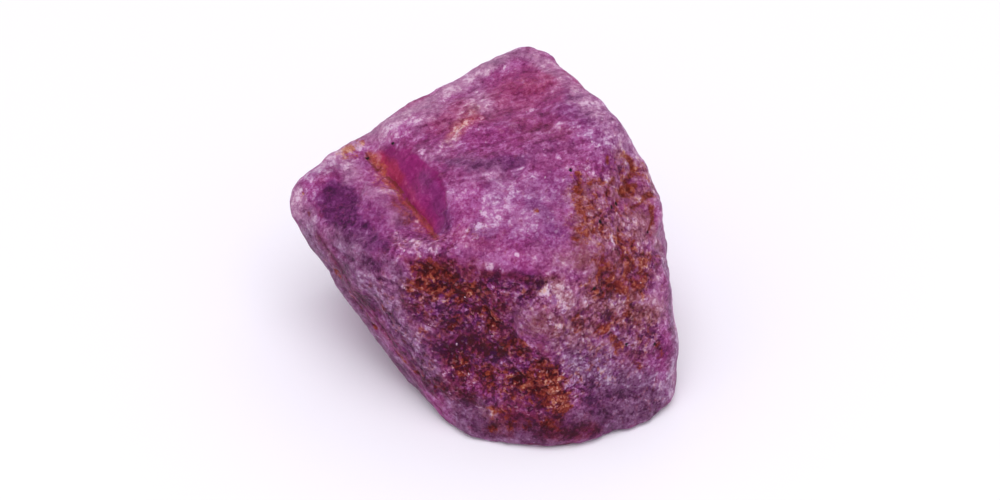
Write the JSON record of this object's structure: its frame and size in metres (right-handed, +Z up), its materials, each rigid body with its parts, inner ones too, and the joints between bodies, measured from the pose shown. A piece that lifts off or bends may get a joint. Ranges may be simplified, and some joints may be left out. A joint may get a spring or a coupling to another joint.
{
  "type": "rough ruby",
  "caption": "Rough ruby: one natural purple-pink corundum stone with blunt worn faces, a stepped left shoulder and a flat underside.",
  "frame": {"origin": "middle of the stone's box in X and Y, on the ground that the underside rests on", "axes": "+Z up, -Y towards the viewer of the picture, +X to the viewer's right along the stone's longest side"},
  "size_m": [0.025, 0.0232, 0.0164],
  "materials": {
    "stone": "frosted and sugary, purple-pink with rust-brown stains and one glassy step"
  },
  "bodies": {
    "root": {"rough_ruby": "stone"}
  },
  "joints": []
}
